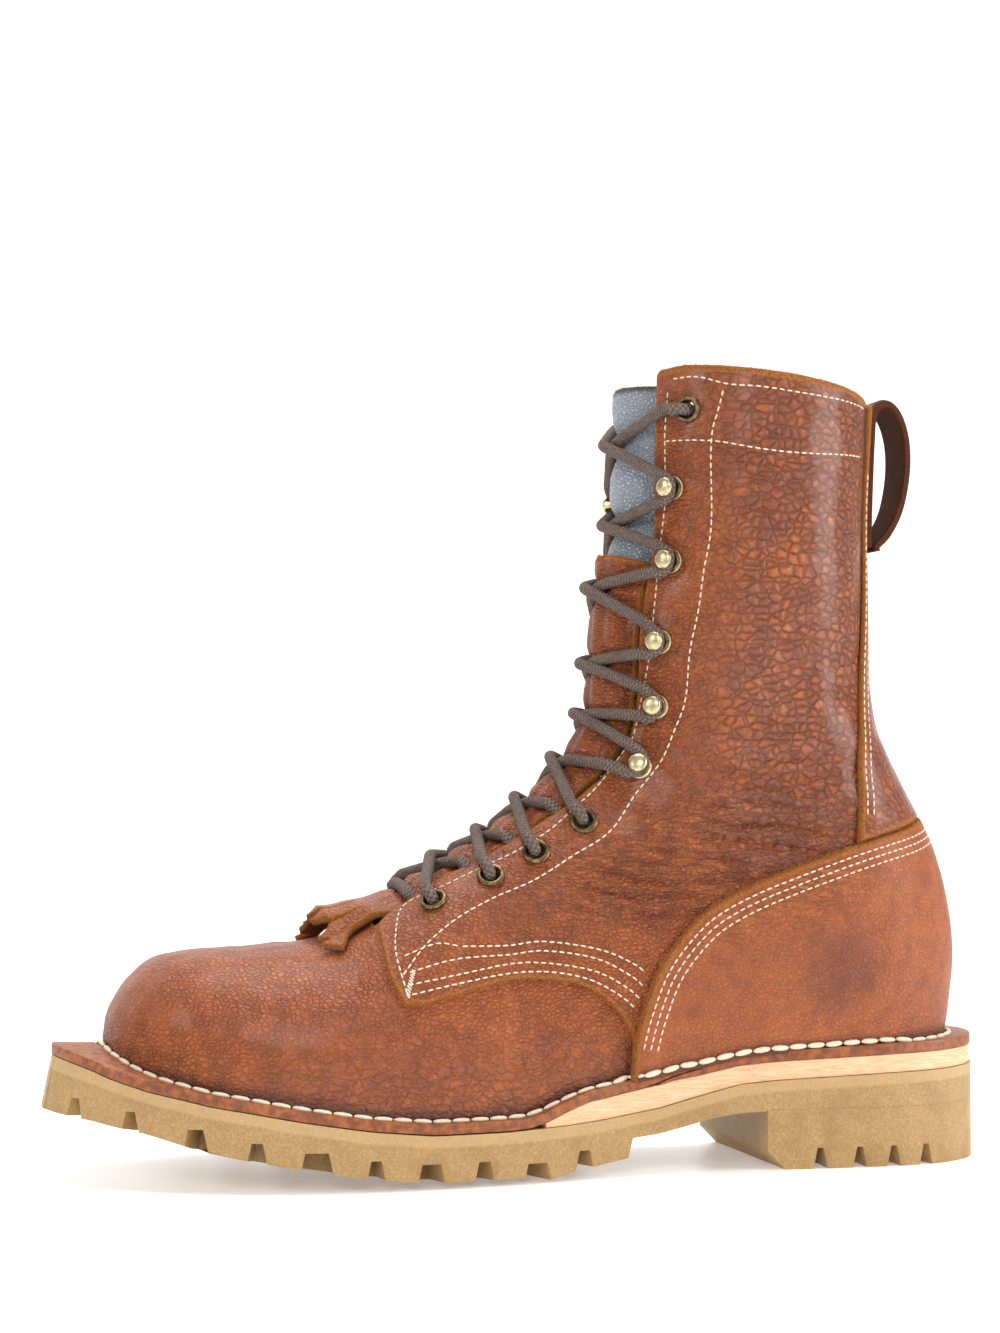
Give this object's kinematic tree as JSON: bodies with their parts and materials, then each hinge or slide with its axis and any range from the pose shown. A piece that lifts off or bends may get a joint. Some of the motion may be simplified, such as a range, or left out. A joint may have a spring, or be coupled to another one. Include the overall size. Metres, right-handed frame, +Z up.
{
  "type": "leather boot",
  "caption": "Left lace-up leather work boot with a tall shaft, fringed tongue cover, stitched welt, block heel and lugged rubber sole.",
  "frame": {"origin": "centre of the bounding box at floor level", "axes": "+X to the toe, +Y to the wearer's left, which is the outer side, +Z up"},
  "size_m": [0.325, 0.1096, 0.2715],
  "materials": {
    "sole_rubber": "matt, moulded",
    "sole_leather": "raw edge",
    "welt_leather": "satin edge",
    "upper_leather": "pebbled, oiled",
    "counter_leather": "smoother, oiled",
    "lining_leather": "matt",
    "tongue_leather": "pebbled",
    "lace": "braided",
    "brass": "aged"
  },
  "bodies": {
    "root": {"outsole": "sole_rubber", "heel": "sole_rubber", "midsole": "sole_leather", "welt": "welt_leather", "heel_rand": "welt_leather", "insole": "lining_leather", "upper": "upper_leather", "counter": "counter_leather", "backstay": "upper_leather", "tongue": "tongue_leather", "kiltie": "counter_leather", "pull_loop": "upper_leather", "eyelet_l1": "brass", "hook_l1": "brass", "eyelet_l2": "brass", "hook_l2": "brass", "eyelet_l3": "brass", "hook_l3": "brass", "eyelet_l4": "brass", "hook_l4": "brass", "eyelet_l5": "brass", "hook_l5": "brass", "eyelet_m1": "brass", "hook_m1": "brass", "eyelet_m2": "brass", "hook_m2": "brass", "eyelet_m3": "brass", "hook_m3": "brass", "eyelet_m4": "brass", "hook_m4": "brass", "eyelet_m5": "brass", "hook_m5": "brass", "lace_bar": "lace", "lace_cross_1": "lace", "lace_cross_2": "lace", "lace_cross_3": "lace", "lace_cross_4": "lace", "lace_cross_5": "lace", "lace_cross_6": "lace", "lace_cross_7": "lace", "lace_cross_8": "lace", "lace_cross_9": "lace"}
  },
  "joints": []
}
